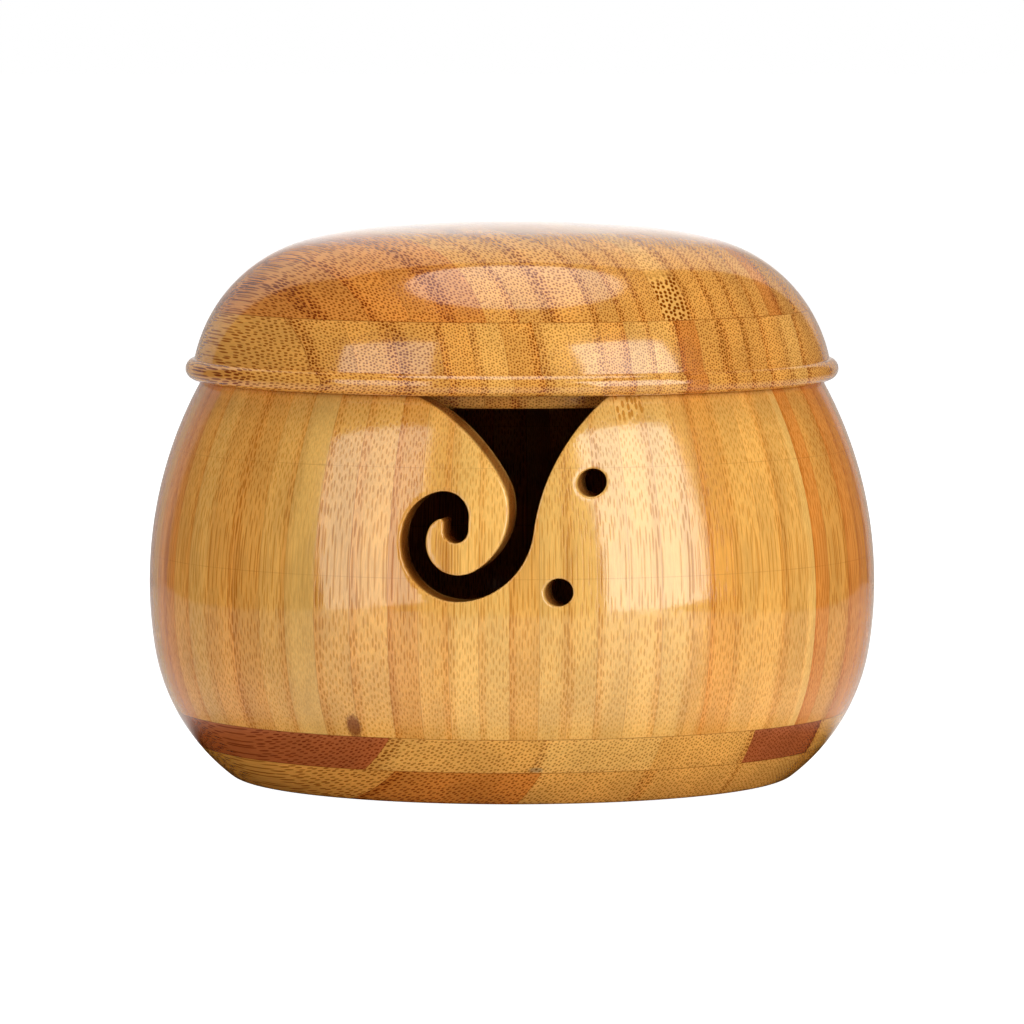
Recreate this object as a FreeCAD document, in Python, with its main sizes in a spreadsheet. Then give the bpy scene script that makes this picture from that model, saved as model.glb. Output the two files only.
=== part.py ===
import FreeCAD, Part
import enum
import math
import os
import Sketcher

# A turned bamboo yarn bowl with a lift-off lid.
# Millimetres and degrees. +Z is up, the notch faces -Y, the origin is the centre of the foot.
# The blanks are glued up from strips, blocks and boards and then turned, so each piece is what
# the turned form leaves of its own blank.

SIZES = [
    # the turned outline of the bowl
    ("bowl_diameter", 150.0, "across the belly"),
    ("belly_height", 40.3, "height of the widest circle"),
    ("underbelly_radius", 86.0, "arc just below the widest circle"),
    ("underbelly_angle", 9.0, "sweep of that arc"),
    ("lower_radius", 41.0, "arc from there in to the foot"),
    ("foot_round", 4.0, "round between the lower arc and the foot"),
    ("bowl_height", 82.3, "foot to rim"),
    ("rim_round", 0.8, "both edges of the rim"),
    ("wall_thickness", 8.0, "of the wall, all the way down"),
    ("mouth_diameter", 114.0, "straight land inside the rim"),
    ("rim_width", 7.05, "mouth to the outer edge of the rim, before its rounds"),
    # the blanks of the bowl
    ("bottom_board", 7.2, "thickness of the bottom board"),
    ("base_board", 7.1, "thickness of the base board"),
    ("bottom_strip_inset", 11.1, "outermost seams of the bottom board, in from its upper edge"),
    ("base_strip_inset", 12.3, "outermost seams of the base board, in from its upper edge"),
    ("board_angle", 35.0, "turn of the strips about the axis"),
    ("turning_waste", 3.0, "what the blanks have beyond the turned form"),
    ("front_block_angle", 63.6, "share of the ring that the front block takes"),
    # the yarn notch, cut straight through the front block
    ("cut_angle", 12.0, "turn of the cut away from straight ahead"),
    ("channel_width", 5.27, "yarn channel round the hook"),
    ("slot_width", 5.04, "blind end of the channel"),
    ("slot_depth", 2.4, "straight part of the blind end, below the hook tip"),
    ("hook_tip_side", 1.39, "hook tip, sideways from the cut's own middle"),
    ("hook_tip_drop", 23.67, "hook tip, below the rim"),
    ("hook_tip_heading", 190.1, "direction in which the outline leaves the tip"),
    ("hook_nose_radius", 3.7, "first arc from the tip"),
    ("hook_nose_angle", 60.9, "sweep of the first arc"),
    ("hook_curl_radius", 6.6, "arc under the hook"),
    ("hook_curl_angle", 140.2, "sweep of that arc"),
    ("hook_back_radius", 12.88, "arc behind the hook"),
    ("hook_back_angle", 90.7, "sweep of that arc"),
    ("hook_flank_radius", 42.2, "long arc from the hook up past the rim"),
    ("hook_flank_angle", 45.0, "sweep of that arc"),
    ("slot_crown_radius", 5.24, "arc over the blind end"),
    ("channel_curl_angle", 115.4, "far side of the channel, alongside the curl"),
    ("channel_back_radius", 15.0, "far side of the channel, below the hook"),
    ("channel_back_angle", 78.9, "sweep of that arc"),
    ("channel_flank_radius", 42.8, "long arc from the channel up past the rim"),
    ("channel_flank_angle", 45.0, "sweep of that arc"),
    # the two yarn holes, parallel to the notch
    ("hole_diameter", 5.5, "both yarn holes"),
    ("upper_hole_side", 29.8, "sideways from the cut's own middle"),
    ("upper_hole_drop", 16.8, "below the rim"),
    ("lower_hole_side", 24.4, "sideways from the cut's own middle"),
    ("lower_hole_drop", 38.2, "below the rim"),
    # the turned outline of the lid
    ("lid_height", 32.3, "seat to the top of the dome"),
    ("lower_lid_board", 14.5, "seat to the glue line of the upper board"),
    ("bead_overhang", 3.4, "bead beyond the bowl's rim edge"),
    ("bead_height", 4.4, "half-round bead round the seat"),
    ("dome_angle", 5.1, "sweep of the arc over the middle"),
    ("crown_radius", 87.0, "arc between dome and shoulder"),
    ("crown_angle", 9.2, "sweep of that arc"),
    ("shoulder_radius", 32.0, "arc down to the bead"),
    ("shoulder_setback", 1.15, "widest part of the shoulder, in from the bead"),
    ("register_clearance", 0.4, "between register ring and mouth, all round"),
    ("register_depth", 2.9, "register ring below the seat"),
    ("register_width", 6.6, "thickness of the register ring"),
    ("register_chamfer", 0.6, "lead-in on the register ring"),
    ("lid_top_thickness", 10.6, "wood left over the hollow of the lid"),
    ("lid_hollow_round", 14.0, "round between the hollow's side and its ceiling"),
]

STRIPS_PER_BOARD = 7
REST_OF_RING = (
    "wall_block_front_right",
    "wall_block_rear_right",
    "wall_block_rear",
    "wall_block_rear_left",
    "wall_block_front_left",
)

doc = FreeCAD.newDocument("yarn_bowl")
sheet = doc.addObject("Spreadsheet::Sheet", "Sizes")
for row, (alias, value, note) in enumerate(SIZES, start=1):
    sheet.set("A%d" % row, alias)
    sheet.set("B%d" % row, str(value))
    sheet.set("C%d" % row, note)
    sheet.setAlias("B%d" % row, alias)
doc.recompute()


class At(enum.IntEnum):
    """How a sketch numbers the places on one of its lines or arcs."""
    START = 1
    END = 2
    CENTRE = 3


class Axis(enum.IntEnum):
    """How a sketch numbers its own axes. Its origin is the start of the first."""
    X = -1
    Y = -2


START, END, CENTRE = At
BLANK_RADIUS = "({bowl_diameter} / 2 + {turning_waste})"
LID_EDGE = "{mouth_diameter} / 2 + {rim_width} + {bead_overhang}"
VERTICAL_PLANE = FreeCAD.Placement(FreeCAD.Vector(), FreeCAD.Rotation(FreeCAD.Vector(1, 0, 0), 90))


def size(alias):
    """Present value of one cell of the sheet."""
    return float(getattr(sheet, alias))


def bind(thing, path, formula):
    """Tie a property to the sheet. Words between braces are aliases."""
    thing.setExpression(path, formula.replace("{", "Sizes.").replace("}", ""))


def sine(degrees):
    return math.sin(math.radians(degrees))


def cosine(degrees):
    return math.cos(math.radians(degrees))


class Outline:
    """A sketch drawn as a walk: each arc or line starts where, and as, the last one ended."""

    def __init__(self, name, placement):
        self.sketch = doc.addObject("Sketcher::SketchObject", name)
        self.sketch.Placement = placement
        self.place = None
        self.heading = 0.0
        self.last = None

    def rule(self, *parts, formula=None):
        """Add one constraint and, for a dimension, the formula that drives it."""
        index = self.sketch.addConstraint(Sketcher.Constraint(*parts))
        if formula:
            bind(self.sketch, "Constraints[%d]" % index, formula)

    def start(self, x, y, heading):
        self.place = (x, y)
        self.heading = heading
        self.last = None

    def arc(self, radius, sweep, joined="Tangent"):
        """Arc from the present place. A positive sweep turns left. Gives its number and its ends."""
        side = 1.0 if sweep > 0 else -1.0
        x, y = self.place
        centre = (x - side * radius * sine(self.heading), y + side * radius * cosine(self.heading))
        entry = self.heading - side * 90.0
        leave = entry + sweep
        low, high = sorted((entry, leave))
        circle = Part.Circle(FreeCAD.Vector(*centre, 0), FreeCAD.Vector(0, 0, 1), radius)
        shape = Part.ArcOfCircle(circle, math.radians(low), math.radians(high))
        number = self.sketch.addGeometry(shape, False)
        first, final = (START, END) if sweep > 0 else (END, START)
        if self.last:
            self.rule(joined, *self.last, number, first)
        self.last = (number, final)
        self.place = (centre[0] + radius * cosine(leave), centre[1] + radius * sine(leave))
        self.heading += sweep
        return number, first, final

    def line(self, x, y, joined="Coincident"):
        """Straight line from the present place."""
        ends = FreeCAD.Vector(*self.place, 0), FreeCAD.Vector(x, y, 0)
        number = self.sketch.addGeometry(Part.LineSegment(*ends), False)
        if self.last:
            self.rule(joined, *self.last, number, START)
        self.last = (number, END)
        self.heading = math.degrees(math.atan2(y - self.place[1], x - self.place[0]))
        self.place = (x, y)
        return number

    def close(self, number, end):
        self.rule("Coincident", *self.last, number, end)

    def across(self, number, end, formula, value):
        """Distance of a point from the vertical axis."""
        self.rule("DistanceX", Axis.X, START, number, end, value, formula=formula)

    def up(self, number, end, formula, value):
        """Height of a point."""
        self.rule("DistanceY", Axis.X, START, number, end, value, formula=formula)

    def radius(self, number, formula, value):
        self.rule("Radius", number, value, formula=formula)

    def sweep(self, number, formula, value):
        self.rule("Angle", number, math.radians(value), formula=formula)


def turned(name, outline, height=None):
    """Solid of revolution of an outline about the axis."""
    solid = doc.addObject("Part::Revolution", name)
    solid.Source = outline.sketch
    solid.Axis = (0, 0, 1)
    solid.Angle = 360
    solid.Solid = True
    if height:
        bind(solid, "Placement.Base.z", height)
    return solid


def common(label, turned_form, blank):
    """One piece of the object: what the turned form leaves of its blank."""
    piece = doc.addObject("Part::Common", label)
    piece.Label = label
    piece.Base = turned_form
    piece.Tool = blank
    return piece


# ---------------------------------------------------------------- bowl: turned form

def bowl_outline():
    """Half section of the bowl: foot, belly, rim, mouth, inner wall and floor."""
    edge = size("bowl_diameter") / 2
    under, lower, foot = size("underbelly_radius"), size("lower_radius"), size("foot_round")
    low, rim, wall = size("underbelly_angle"), size("rim_round"), size("wall_thickness")
    top, middle, mouth = size("bowl_height"), size("belly_height"), size("mouth_diameter") / 2
    floor = size("bottom_board") + size("base_board")

    # the belly's arc is upright at the widest circle and runs through the outer edge of the rim
    bulge = "(({bowl_diameter} - {mouth_diameter}) / 2 - {rim_width})"
    belly_formula = "(%s ^ 2 + ({bowl_height} - {belly_height}) ^ 2) / (2 * %s)" % (bulge, bulge)
    out_by = edge - mouth - size("rim_width")
    belly = (out_by ** 2 + (top - middle) ** 2) / (2 * out_by)

    lower_centre_drop = (under - lower) * sine(low) - middle + foot
    lower_sweep = 90.0 - low - math.degrees(math.acos(-lower_centre_drop / (lower - foot)))
    upper_sweep = math.degrees(math.asin((top - middle - rim) / (belly - rim)))

    out = Outline("bowl_section", VERTICAL_PLANE)
    # widest circle, down to the foot
    out.start(edge, middle, -90.0)
    underbelly, first, _ = out.arc(under, -low)
    out.across(underbelly, first, "{bowl_diameter} / 2", edge)
    out.up(underbelly, first, "{belly_height}", middle)
    out.up(underbelly, CENTRE, "{belly_height}", middle)
    out.radius(underbelly, "{underbelly_radius}", under)
    out.sweep(underbelly, "{underbelly_angle}", low)
    lower_arc, _, _ = out.arc(lower, -lower_sweep)
    out.radius(lower_arc, "{lower_radius}", lower)
    foot_arc, _, _ = out.arc(foot, -180.0 - out.heading)
    out.radius(foot_arc, "{foot_round}", foot)
    foot_line = out.line(0.0, 0.0, joined="Tangent")
    out.rule("Coincident", foot_line, END, Axis.X, START)
    out.rule("Horizontal", foot_line)

    # widest circle, up to the rim and over it
    out.start(edge, middle, 90.0)
    out.last = (underbelly, first)
    belly_arc, _, _ = out.arc(belly, upper_sweep)
    out.radius(belly_arc, belly_formula, belly)
    rim_outer, _, _ = out.arc(rim, 180.0 - out.heading)
    out.radius(rim_outer, "{rim_round}", rim)
    rim_line = out.line(mouth + rim, top, joined="Tangent")
    out.rule("Horizontal", rim_line)
    out.up(rim_line, START, "{bowl_height}", top)
    rim_inner, _, _ = out.arc(rim, 90.0)
    out.radius(rim_inner, "{rim_round}", rim)

    # mouth land, inner wall and floor
    belly_centre = edge - belly
    inner, inner_under, inner_lower = belly - wall, under - wall, lower - wall
    land_foot = middle + math.sqrt(inner ** 2 - (mouth - belly_centre) ** 2)
    land = out.line(mouth, land_foot, joined="Tangent")
    out.rule("Vertical", land)
    out.across(land, START, "{mouth_diameter} / 2", mouth)
    lean = math.degrees(math.asin((land_foot - middle) / inner))
    out.heading = lean - 90.0
    inner_arc, _, final = out.arc(inner, -lean, joined="Coincident")
    out.rule("Coincident", inner_arc, CENTRE, belly_arc, CENTRE)
    out.across(inner_arc, final, "{bowl_diameter} / 2 - {wall_thickness}", edge - wall)
    out.up(inner_arc, final, "{belly_height}", middle)
    inner_underbelly, _, _ = out.arc(inner_under, -low)
    out.radius(inner_underbelly, "{underbelly_radius} - {wall_thickness}", inner_under)
    out.sweep(inner_underbelly, "{underbelly_angle}", low)
    lower_middle = middle - (under - lower) * sine(low)
    floor_lean = math.degrees(math.asin((lower_middle - floor) / inner_lower))
    inner_lower_arc, _, _ = out.arc(inner_lower, low - floor_lean)
    out.radius(inner_lower_arc, "{lower_radius} - {wall_thickness}", inner_lower)
    floor_line = out.line(0.0, floor)
    out.rule("Horizontal", floor_line)
    out.up(floor_line, END, "{bottom_board} + {base_board}", floor)
    axis_line = out.line(0.0, 0.0)
    out.rule("Vertical", axis_line)
    out.close(foot_line, END)
    return out


# ---------------------------------------------------------------- lid: turned form

def lid_outline():
    """Half section of the lid above its seat: dome, shoulder, bead, seat, register ring, hollow."""
    crown, shoulder = size("crown_radius"), size("shoulder_radius")
    dome_turn, crown_turn = size("dome_angle"), size("crown_angle")
    top, bead = size("lid_height"), size("bead_height") / 2
    ring = size("mouth_diameter") / 2 - size("register_clearance")
    chamfer, depth = size("register_chamfer"), size("register_depth")
    hollow, ceiling = ring - size("register_width"), top - size("lid_top_thickness")
    lid_edge = size("mouth_diameter") / 2 + size("rim_width") + size("bead_overhang")
    bead_middle = lid_edge - bead
    shoulder_middle = lid_edge - size("shoulder_setback") - shoulder
    round_ = size("lid_hollow_round")

    # the dome's arc is as large as it takes to bring the shoulder to its place
    crown_reach = crown * (sine(dome_turn + crown_turn) - sine(dome_turn))
    dome_reach = shoulder_middle + shoulder * sine(dome_turn + crown_turn) - crown_reach
    dome = dome_reach / sine(dome_turn)

    out = Outline("lid_section", VERTICAL_PLANE)
    out.start(0.0, top, 0.0)
    dome_arc, first, _ = out.arc(dome, -dome_turn)
    out.rule("PointOnObject", dome_arc, first, Axis.Y)
    out.rule("PointOnObject", dome_arc, CENTRE, Axis.Y)
    out.up(dome_arc, first, "{lid_height}", top)
    out.sweep(dome_arc, "{dome_angle}", dome_turn)
    crown_arc, _, _ = out.arc(crown, -crown_turn)
    out.radius(crown_arc, "{crown_radius}", crown)
    out.sweep(crown_arc, "{crown_angle}", crown_turn)

    # the shoulder runs down until it meets the bead's circle
    slope = -out.heading
    centre = (out.place[0] - shoulder * sine(slope), out.place[1] - shoulder * cosine(slope))
    gap = math.hypot(bead_middle - centre[0], bead - centre[1])
    along = (gap ** 2 + shoulder ** 2 - bead ** 2) / (2 * gap)
    toward = math.degrees(math.atan2(bead - centre[1], bead_middle - centre[0]))
    meet = toward + math.degrees(math.acos(along / shoulder))
    shoulder_arc, _, _ = out.arc(shoulder, meet - 90.0 + slope)
    out.radius(shoulder_arc, "{shoulder_radius}", shoulder)
    out.across(shoulder_arc, CENTRE, LID_EDGE + " - {shoulder_setback} - {shoulder_radius}", shoulder_middle)
    meet_on_bead = math.degrees(math.atan2(out.place[1] - bead, out.place[0] - bead_middle))
    out.heading = meet_on_bead - 90.0
    bead_arc, _, _ = out.arc(bead, -90.0 - meet_on_bead, joined="Coincident")
    out.radius(bead_arc, "{bead_height} / 2", bead)
    out.across(bead_arc, CENTRE, LID_EDGE + " - {bead_height} / 2", bead_middle)
    out.up(bead_arc, CENTRE, "{bead_height} / 2", bead)

    # seat, register ring and hollow
    seat = out.line(ring, 0.0, joined="Tangent")
    out.across(seat, END, "{mouth_diameter} / 2 - {register_clearance}", ring)
    out.rule("PointOnObject", seat, END, Axis.X)
    ring_outer = out.line(ring, chamfer - depth)
    out.rule("Vertical", ring_outer)
    lead_in = out.line(ring - chamfer, -depth)
    out.across(lead_in, END, "{mouth_diameter} / 2 - {register_clearance} - {register_chamfer}",
               ring - chamfer)
    out.up(lead_in, START, "{register_chamfer} - {register_depth}", chamfer - depth)
    out.up(lead_in, END, "-{register_depth}", -depth)
    ring_foot = out.line(hollow, -depth)
    out.rule("Horizontal", ring_foot)
    hollow_side = out.line(hollow, ceiling - round_)
    out.rule("Vertical", hollow_side)
    out.across(hollow_side, END,
               "{mouth_diameter} / 2 - {register_clearance} - {register_width}", hollow)
    hollow_corner, _, _ = out.arc(round_, 90.0)
    out.radius(hollow_corner, "{lid_hollow_round}", round_)
    ceiling_line = out.line(0.0, ceiling, joined="Tangent")
    out.rule("Horizontal", ceiling_line)
    out.rule("PointOnObject", ceiling_line, END, Axis.Y)
    out.up(ceiling_line, END, "{lid_height} - {lid_top_thickness}", ceiling)
    out.line(0.0, top)
    out.close(dome_arc, first)
    return out


# ---------------------------------------------------------------- yarn notch and holes

def notch_outline():
    """The notch seen along the cut: blind slot, channel round the hook and funnel to the rim."""
    tip_x, tip_y = size("hook_tip_side"), size("bowl_height") - size("hook_tip_drop")
    heading, width = size("hook_tip_heading"), size("channel_width")
    nose, curl = size("hook_nose_radius"), size("hook_curl_radius")
    turn = FreeCAD.Rotation(FreeCAD.Vector(0, 0, 1), -size("cut_angle"))
    out = Outline("notch_section", FreeCAD.Placement(FreeCAD.Vector(), turn * VERTICAL_PLANE.Rotation))

    # hook side, from the tip to above the rim
    out.start(tip_x, tip_y, heading)
    nose_arc, tip_end, _ = out.arc(nose, size("hook_nose_angle"))
    out.across(nose_arc, tip_end, "{hook_tip_side}", tip_x)
    out.up(nose_arc, tip_end, "{bowl_height} - {hook_tip_drop}", tip_y)
    out.across(nose_arc, CENTRE, "{hook_tip_side} - {hook_nose_radius} * sin({hook_tip_heading})",
               tip_x - nose * sine(heading))
    out.up(nose_arc, CENTRE,
           "{bowl_height} - {hook_tip_drop} + {hook_nose_radius} * cos({hook_tip_heading})",
           tip_y + nose * cosine(heading))
    out.sweep(nose_arc, "{hook_nose_angle}", size("hook_nose_angle"))
    for name in ("hook_curl", "hook_back", "hook_flank"):
        bend, _, _ = out.arc(size(name + "_radius"), size(name + "_angle"))
        out.radius(bend, "{%s_radius}" % name, size(name + "_radius"))
        out.sweep(bend, "{%s_angle}" % name, size(name + "_angle"))
    hook_top, hook_top_place = out.last, out.place

    # far side: one channel width out from the tip, then alongside the hook
    away_x, away_y = tip_x + width * sine(heading), tip_y - width * cosine(heading)
    out.start(away_x, away_y, heading)
    far_nose, away, _ = out.arc(nose + width, size("hook_nose_angle"))
    out.rule("Coincident", far_nose, CENTRE, nose_arc, CENTRE)
    out.across(far_nose, away, "{hook_tip_side} + {channel_width} * sin({hook_tip_heading})", away_x)
    out.up(far_nose, away,
           "{bowl_height} - {hook_tip_drop} - {channel_width} * cos({hook_tip_heading})", away_y)
    out.sweep(far_nose, "{hook_nose_angle}", size("hook_nose_angle"))
    far_bends = (
        (curl + width, size("channel_curl_angle"),
         "{hook_curl_radius} + {channel_width}", "{channel_curl_angle}"),
        (size("channel_back_radius"), size("channel_back_angle"),
         "{channel_back_radius}", "{channel_back_angle}"),
        (size("channel_flank_radius"), -size("channel_flank_angle"),
         "{channel_flank_radius}", "{channel_flank_angle}"),
    )
    for bend_radius, bend_sweep, radius_formula, sweep_formula in far_bends:
        bend, _, _ = out.arc(bend_radius, bend_sweep)
        out.radius(bend, radius_formula, bend_radius)
        out.sweep(bend, sweep_formula, abs(bend_sweep))
    out.line(*hook_top_place)
    out.close(*hook_top)

    # over the blind slot, down to its round end and up to the tip
    crown = size("slot_crown_radius")
    slot, drop = size("slot_width"), size("slot_depth")
    out.start(away_x, away_y, heading + 180.0)
    out.last = (far_nose, away)
    crown_arc, _, _ = out.arc(crown, 90.0 - heading)
    out.radius(crown_arc, "{slot_crown_radius}", crown)
    far_wall = out.line(out.place[0], tip_y - drop, joined="Tangent")
    out.rule("Vertical", far_wall)
    out.up(far_wall, END, "{bowl_height} - {hook_tip_drop} - {slot_depth}", tip_y - drop)
    round_end, _, final = out.arc(slot / 2, -180.0)
    out.radius(round_end, "{slot_width} / 2", slot / 2)
    out.line(tip_x, tip_y)
    out.rule("Horizontal", round_end, CENTRE, round_end, final)
    out.close(nose_arc, tip_end)
    return out


def cut_prism(outline):
    """The notch outline, carried out through the front wall."""
    prism = doc.addObject("Part::Extrusion", "notch_cut")
    prism.Base = outline.sketch
    prism.DirMode = "Normal"
    prism.Solid = True
    bind(prism, "LengthFwd", "{bowl_diameter} / 2")
    bind(outline.sketch, "Placement.Rotation.Yaw", "-{cut_angle}")
    return prism


def yarn_hole(name):
    """Straight hole from the middle of the bowl out through the front wall, along the cut."""
    drill = doc.addObject("Part::Cylinder", name + "_cut")
    drill.Placement.Rotation = FreeCAD.Rotation(-size("cut_angle"), 0, 90)
    bind(drill, "Radius", "{hole_diameter} / 2")
    bind(drill, "Height", "{bowl_diameter} / 2")
    bind(drill, "Placement.Rotation.Yaw", "-{cut_angle}")
    bind(drill, "Placement.Base.x", "{%s_side} * cos({cut_angle})" % name)
    bind(drill, "Placement.Base.y", "-{%s_side} * sin({cut_angle})" % name)
    bind(drill, "Placement.Base.z", "{bowl_height} - {%s_drop}" % name)
    return drill


# ---------------------------------------------------------------- blanks and pieces

def lower_arc_radius(height):
    """Formula for the radius of the bowl's lower arc at a height: its centre plus half a chord."""
    reach = "({underbelly_radius} - {lower_radius})"
    middle = "{bowl_diameter} / 2 - {underbelly_radius} + %s * cos({underbelly_angle})" % reach
    rise = "({belly_height} - %s * sin({underbelly_angle}) - (%s))" % (reach, height)
    return "(%s + sqrt({lower_radius} ^ 2 - %s ^ 2))" % (middle, rise)


def board_strips(turned_form, board, low, thick):
    """A board of strips laid edge to edge, the middle one on the axis, the outer ones to the edge."""
    pieces = []
    edge = lower_arc_radius(low + " + " + thick)
    width = "((%s - {%s_strip_inset}) / %g)" % (edge, board, STRIPS_PER_BOARD / 2 - 1)
    for number in range(1, STRIPS_PER_BOARD + 1):
        place = number - (STRIPS_PER_BOARD + 1) / 2
        blank = doc.addObject("Part::Box", "%s_strip_blank_%d" % (board, number))
        near = "(%g * %s)" % (place - 0.5, width)
        wide = width
        if number == 1:
            near = "(-%s)" % BLANK_RADIUS
            wide = "%s + %g * %s" % (BLANK_RADIUS, place + 0.5, width)
        if number == STRIPS_PER_BOARD:
            wide = "%s - %g * %s" % (BLANK_RADIUS, place - 0.5, width)
        bind(blank, "Length", wide)
        bind(blank, "Width", "2 * " + BLANK_RADIUS)
        bind(blank, "Height", thick)
        bind(blank, "Placement.Rotation.Yaw", "{board_angle}")
        bind(blank, "Placement.Base.x",
             "%s * cos({board_angle}) + %s * sin({board_angle})" % (near, BLANK_RADIUS))
        bind(blank, "Placement.Base.y",
             "%s * sin({board_angle}) - %s * cos({board_angle})" % (near, BLANK_RADIUS))
        bind(blank, "Placement.Base.z", low)
        pieces.append(common("%s_strip_%d" % (board, number), turned_form, blank))
    return pieces


def ring_sector(name, first_angle, angle):
    """Blank of one wall block: a sector of the ring, standing on the base board."""
    blank = doc.addObject("Part::Cylinder", name + "_blank")
    bind(blank, "Radius", BLANK_RADIUS)
    bind(blank, "Height", "{bowl_height} - {bottom_board} - {base_board}")
    bind(blank, "Angle", angle)
    bind(blank, "Placement.Rotation.Yaw", first_angle)
    bind(blank, "Placement.Base.z", "{bottom_board} + {base_board}")
    return blank


def wall_blocks(turned_form):
    """Six blocks of upright bamboo. The front one carries the notch and the yarn holes."""
    front = common("wall_block_front_uncut", turned_form,
                   ring_sector("wall_block_front", "-90 - {front_block_angle} / 2", "{front_block_angle}"))
    cuts = doc.addObject("Part::MultiFuse", "yarn_cuts")
    cuts.Shapes = [cut_prism(notch_outline()), yarn_hole("upper_hole"), yarn_hole("lower_hole")]
    piece = doc.addObject("Part::Cut", "wall_block_front")
    piece.Label = "wall_block_front"
    piece.Base = front
    piece.Tool = cuts
    pieces = [piece]
    share = "(360 - {front_block_angle}) / %d" % len(REST_OF_RING)
    for step, name in enumerate(REST_OF_RING):
        start = "-90 + {front_block_angle} / 2 + %d * %s" % (step, share)
        pieces.append(common(name, turned_form, ring_sector(name, start, share)))
    return pieces


def lid_board(label, turned_form, low, thick):
    """A round board of the lid, turned together with the other one."""
    blank = doc.addObject("Part::Cylinder", label + "_blank")
    bind(blank, "Radius", LID_EDGE + " + {turning_waste}")
    bind(blank, "Height", thick)
    bind(blank, "Placement.Base.z", "{bowl_height} + " + low)
    return common(label, turned_form, blank)


bowl_form = turned("turned_bowl", bowl_outline())
lid_form = turned("turned_lid", lid_outline(), height="{bowl_height}")
nodes = board_strips(bowl_form, "bottom", "0", "{bottom_board}")
nodes += board_strips(bowl_form, "base", "{bottom_board}", "{base_board}")
nodes += wall_blocks(bowl_form)
nodes.append(lid_board("lid_lower_board", lid_form,
                       "(-{register_depth})", "{register_depth} + {lower_lid_board}"))
nodes.append(lid_board("lid_upper_board", lid_form,
                       "{lower_lid_board}", "{lid_height} - {lower_lid_board}"))
doc.recompute()

for thing in doc.Objects:
    if "Invalid" in thing.State or "Error" in thing.State:
        raise RuntimeError("%s did not build: %s" % (thing.Name, thing.State))
for node in nodes:
    if node.Shape.isNull() or not node.Shape.isValid() or not node.Shape.Solids:
        raise RuntimeError("%s has no valid solid" % node.Label)

os.makedirs("parts", exist_ok=True)
for node in nodes:
    node.Shape.exportStep("parts/%s.step" % node.Label)
    print("%-24s %d solid(s) %10.1f mm3" % (node.Label, len(node.Shape.Solids), node.Shape.Volume))
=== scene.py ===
"""Lidded yarn bowl turned from laminated bamboo: the lacquered pieces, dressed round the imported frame.

All sizes in this file are millimetres until a mesh is made. +Z is up, the yarn notch faces -Y and
azimuths are degrees from -Y towards +X.
"""

import math

import bmesh
import bpy
import numpy as np
from mathutils import Matrix, Vector
from mathutils.geometry import delaunay_2d_cdt


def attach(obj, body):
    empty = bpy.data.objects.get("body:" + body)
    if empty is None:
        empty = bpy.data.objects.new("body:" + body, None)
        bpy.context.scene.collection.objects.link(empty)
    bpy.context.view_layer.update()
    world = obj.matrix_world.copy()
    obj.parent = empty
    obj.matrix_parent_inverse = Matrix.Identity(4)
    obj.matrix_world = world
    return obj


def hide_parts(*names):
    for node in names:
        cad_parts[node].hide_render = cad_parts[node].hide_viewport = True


bl_info = {
    "name": "Bamboo yarn bowl",
    "version": (1, 0, 0),
    "blender": (4, 5, 0),
    "location": "View3D > Sidebar > Yarn bowl",
    "description": "Turned bamboo yarn bowl with a notch, yarn holes and a lift-off lid",
    "category": "Object",
}

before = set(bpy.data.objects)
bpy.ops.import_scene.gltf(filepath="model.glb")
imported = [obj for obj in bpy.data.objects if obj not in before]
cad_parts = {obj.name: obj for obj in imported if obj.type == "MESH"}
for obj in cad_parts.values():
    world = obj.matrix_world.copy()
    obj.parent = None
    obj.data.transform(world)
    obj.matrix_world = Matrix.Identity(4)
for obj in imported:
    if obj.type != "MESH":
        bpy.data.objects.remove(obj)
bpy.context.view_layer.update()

MM = 0.001
GRAIN = "grain"  # per point: strip number and share of its width, depth in mm, place along the fibre in mm
CUT_SHADE = "cut"  # per point: 1 on a sawn face inside the wall, 0 on its skins; how much painted shade it gets
SEED = 20
SHARP = 32.0  # degrees between faces from which an arris is drawn sharp
COLUMN_TURN = 0.75  # degrees from one column of a wall block's mesh to the next
LID_COLUMNS = 288
WHITE = (1.0, 1.0, 1.0, 1.0)


# ---------------------------------------------------------------- sizes and colours

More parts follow.
